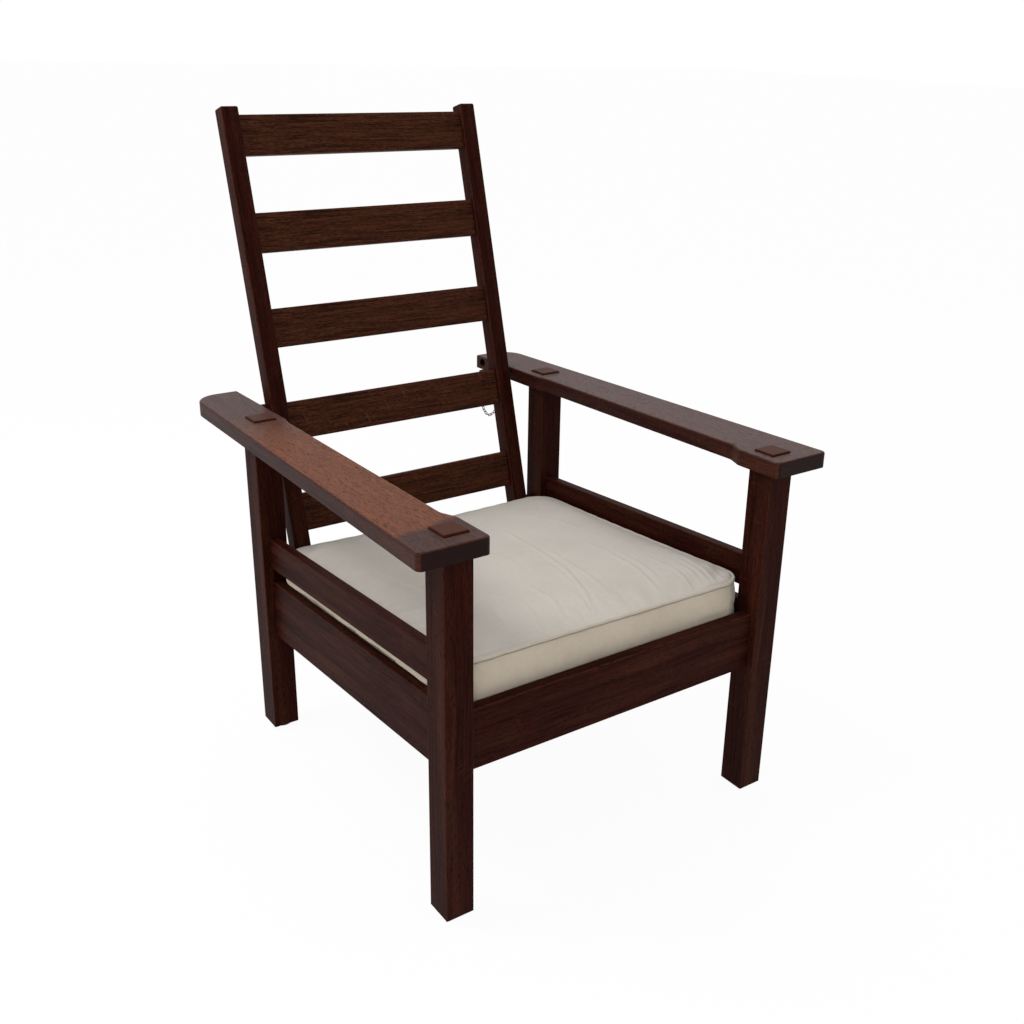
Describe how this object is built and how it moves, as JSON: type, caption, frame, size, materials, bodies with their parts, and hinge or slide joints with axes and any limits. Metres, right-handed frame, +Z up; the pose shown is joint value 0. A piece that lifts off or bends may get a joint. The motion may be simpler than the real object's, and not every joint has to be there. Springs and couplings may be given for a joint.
{
  "type": "mission reclining armchair",
  "caption": "Quarter-sawn oak armchair whose slatted back pivots on bolts and leans on removable chained pegs, with a sloping slatted seat, wide flat arms and a welted seat cushion.",
  "frame": {"origin": "on the floor, at the middle of the whole chair's footprint box", "axes": "+Z up; the chair faces -Y; +X is the sitter's left"},
  "size_m": [0.6994, 0.8238, 1.0062],
  "materials": {
    "oak": "fumed quarter-sawn oak, satin wax, worn edges",
    "seat_frame_wood": "plain sawn secondary wood, unfinished",
    "hardware": "dull aged steel",
    "glide_steel": "worn nickel-plated steel",
    "upholstery": "greyish beige smooth fabric with piped welts"
  },
  "bodies": {
    "frame": {"leg_front_left": "oak", "leg_front_right": "oak", "leg_rear_left": "oak", "leg_rear_right": "oak", "glide_front_left": "glide_steel", "glide_front_right": "glide_steel", "glide_rear_left": "glide_steel", "glide_rear_right": "glide_steel", "arm_left": "oak", "arm_right": "oak", "front_rail": "oak", "rear_rail": "oak", "side_rail_left": "oak", "side_rail_right": "oak", "upper_rail_left": "oak", "upper_rail_right": "oak", "cleat_left": "seat_frame_wood", "cleat_right": "seat_frame_wood", "cleat_screws": "hardware", "seat_slat_1": "seat_frame_wood", "seat_slat_2": "seat_frame_wood", "seat_slat_3": "seat_frame_wood", "seat_slat_4": "seat_frame_wood", "seat_slat_5": "seat_frame_wood", "seat_slat_6": "seat_frame_wood", "seat_slat_7": "seat_frame_wood", "pivot_bolt_left": "hardware", "pivot_bolt_right": "hardware", "pivot_spacer_left": "oak", "pivot_spacer_right": "oak", "arm_eye_left": "hardware", "arm_eye_right": "hardware", "chain_left": "hardware", "chain_right": "hardware", "cushion": "upholstery"},
    "back": {"back_post_left": "oak", "back_post_right": "oak", "back_slat_1": "oak", "back_slat_2": "oak", "back_slat_3": "oak", "back_slat_4": "oak", "back_slat_5": "oak"},
    "peg_left": {"peg_left": "oak", "peg_eye_left": "hardware"},
    "peg_right": {"peg_right": "oak", "peg_eye_right": "hardware"}
  },
  "joints": [
    {"name": "back_tilt", "type": "hinge", "parent": "frame", "child": "back", "pos_m": [0, 0.18757, 0.30201], "axis": [1, 0, 0], "range_deg": [0, 27]},
    {"name": "peg_left_pull", "type": "slide", "parent": "frame", "child": "peg_left", "axis": [-1, 0, 0], "range_m": [0, 0.033], "deforming": ["chain_left"]},
    {"name": "peg_right_pull", "type": "slide", "parent": "frame", "child": "peg_right", "axis": [1, 0, 0], "range_m": [0, 0.033], "deforming": ["chain_right"]}
  ]
}
